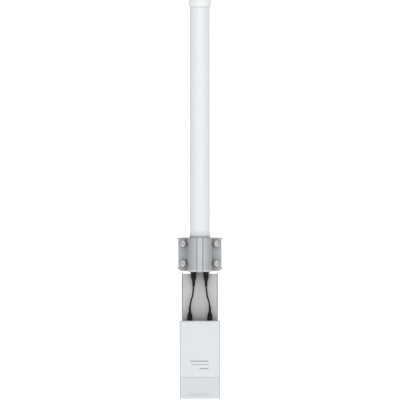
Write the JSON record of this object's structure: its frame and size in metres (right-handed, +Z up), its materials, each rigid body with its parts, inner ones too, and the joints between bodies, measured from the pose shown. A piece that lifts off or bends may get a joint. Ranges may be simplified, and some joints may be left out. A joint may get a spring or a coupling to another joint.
{
  "type": "omnidirectional antenna",
  "caption": "Pole-mounted dual-polarised omnidirectional antenna: white tubular radome on a cast clamp base, short jumper cables and a clip-on outdoor radio with a sliding port cover.",
  "frame": {"origin": "on the pole's axis at the mid-height of the four clamp bolts", "axes": "+Z up along the pole and the radome; the radio's face and the radome are on the -Y side, the pole passes behind; +X is to the right seen from the front"},
  "size_m": [0.0904, 0.1232, 0.799],
  "materials": {
    "radome": "UV-stable white fibreglass tube, semi-gloss",
    "cap_plastic": "white moulded plastic, satin",
    "seal_rubber": "black rubber",
    "collar_grey": "grey sealing ring, matte",
    "circuit_board": "green solder mask on glass laminate",
    "copper": "etched copper",
    "foam": "closed-cell foam",
    "coax_jacket": "brown fluoropolymer jacket",
    "cast_base": "die-cast aluminium, fine blasted, matte grey",
    "zinc_steel": "zinc-plated steel",
    "bracket_steel": "galvanised sheet steel, satin",
    "nickel_brass": "nickel-plated brass",
    "cable_jacket": "black cable jacket",
    "radio_plastic": "off-white outdoor plastic, fine texture",
    "tin_shield": "tinned steel can",
    "jack_plastic": "black plastic",
    "gold": "gold-plated spring wire",
    "button_plastic": "dark grey plastic",
    "boot_rubber": "black moulded rubber, satin"
  },
  "bodies": {
    "antenna": {"radome_tube": "radome", "top_cap": "cap_plastic", "cap_seal": "seal_rubber", "foot_sleeve": "radome", "base_collar": "collar_grey", "vertical_array_board": "circuit_board", "horizontal_array_board": "circuit_board", "vertical_radiators": "copper", "horizontal_radiators": "copper", "array_spacers": "foam", "feed_coax_vertical": "coax_jacket", "feed_coax_horizontal": "coax_jacket", "base_housing": "cast_base", "clamp_bolts": "zinc_steel", "radio_bracket": "bracket_steel", "bracket_screws": "zinc_steel", "antenna_connectors": "nickel_brass", "radio_connectors": "nickel_brass", "connector_washers": "nickel_brass", "connector_nuts": "nickel_brass", "jumper_cable_left": "cable_jacket", "jumper_cable_right": "cable_jacket", "radio_front_shell": "radio_plastic", "radio_rear_shell": "radio_plastic", "radio_circuit_board": "circuit_board", "rf_shield": "tin_shield", "ethernet_jack": "jack_plastic", "ethernet_contacts": "gold", "reset_switch": "jack_plastic", "shell_screws": "zinc_steel", "plug_antenna_left": "nickel_brass", "boot_antenna_left": "boot_rubber", "plug_antenna_right": "nickel_brass", "boot_antenna_right": "boot_rubber", "plug_radio_left": "nickel_brass", "boot_radio_left": "boot_rubber", "plug_radio_right": "nickel_brass", "boot_radio_right": "boot_rubber"},
    "clamp_jaw": {"pole_jaw": "cast_base", "jaw_washers": "zinc_steel", "jaw_lock_washers": "zinc_steel", "jaw_nuts": "zinc_steel"},
    "port_cover": {"port_cover": "radio_plastic"},
    "reset_button": {"reset_button": "button_plastic"},
    "coupling_nut_antenna_left": {"coupling_nut_antenna_left": "nickel_brass"},
    "coupling_nut_antenna_right": {"coupling_nut_antenna_right": "nickel_brass"},
    "coupling_nut_radio_left": {"coupling_nut_radio_left": "nickel_brass"},
    "coupling_nut_radio_right": {"coupling_nut_radio_right": "nickel_brass"}
  },
  "joints": [
    {"name": "jaw_slide", "type": "slide", "parent": "antenna", "child": "clamp_jaw", "axis": [0, 1, 0], "range_m": [-0.012, 0.02]},
    {"name": "port_cover_slide", "type": "slide", "parent": "antenna", "child": "port_cover", "axis": [0, 0, -1], "range_m": [0, 0.024]},
    {"name": "reset_press", "type": "slide", "parent": "antenna", "child": "reset_button", "axis": [0, 0, 1], "range_m": [0, 0.0008], "stiffness_N_per_m": 400},
    {"name": "coupling_spin_antenna_left", "type": "hinge", "parent": "antenna", "child": "coupling_nut_antenna_left", "pos_m": [-0.0125, -0.05, -0.04345], "axis": [0, 0, 1], "continuous": true},
    {"name": "coupling_spin_antenna_right", "type": "hinge", "parent": "antenna", "child": "coupling_nut_antenna_right", "pos_m": [0.0125, -0.05, -0.04345], "axis": [0, 0, 1], "continuous": true},
    {"name": "coupling_spin_radio_left", "type": "hinge", "parent": "antenna", "child": "coupling_nut_radio_left", "pos_m": [-0.02, -0.05, -0.12635], "axis": [0, 0, 1], "continuous": true},
    {"name": "coupling_spin_radio_right", "type": "hinge", "parent": "antenna", "child": "coupling_nut_radio_right", "pos_m": [0.02, -0.05, -0.12635], "axis": [0, 0, 1], "continuous": true}
  ]
}
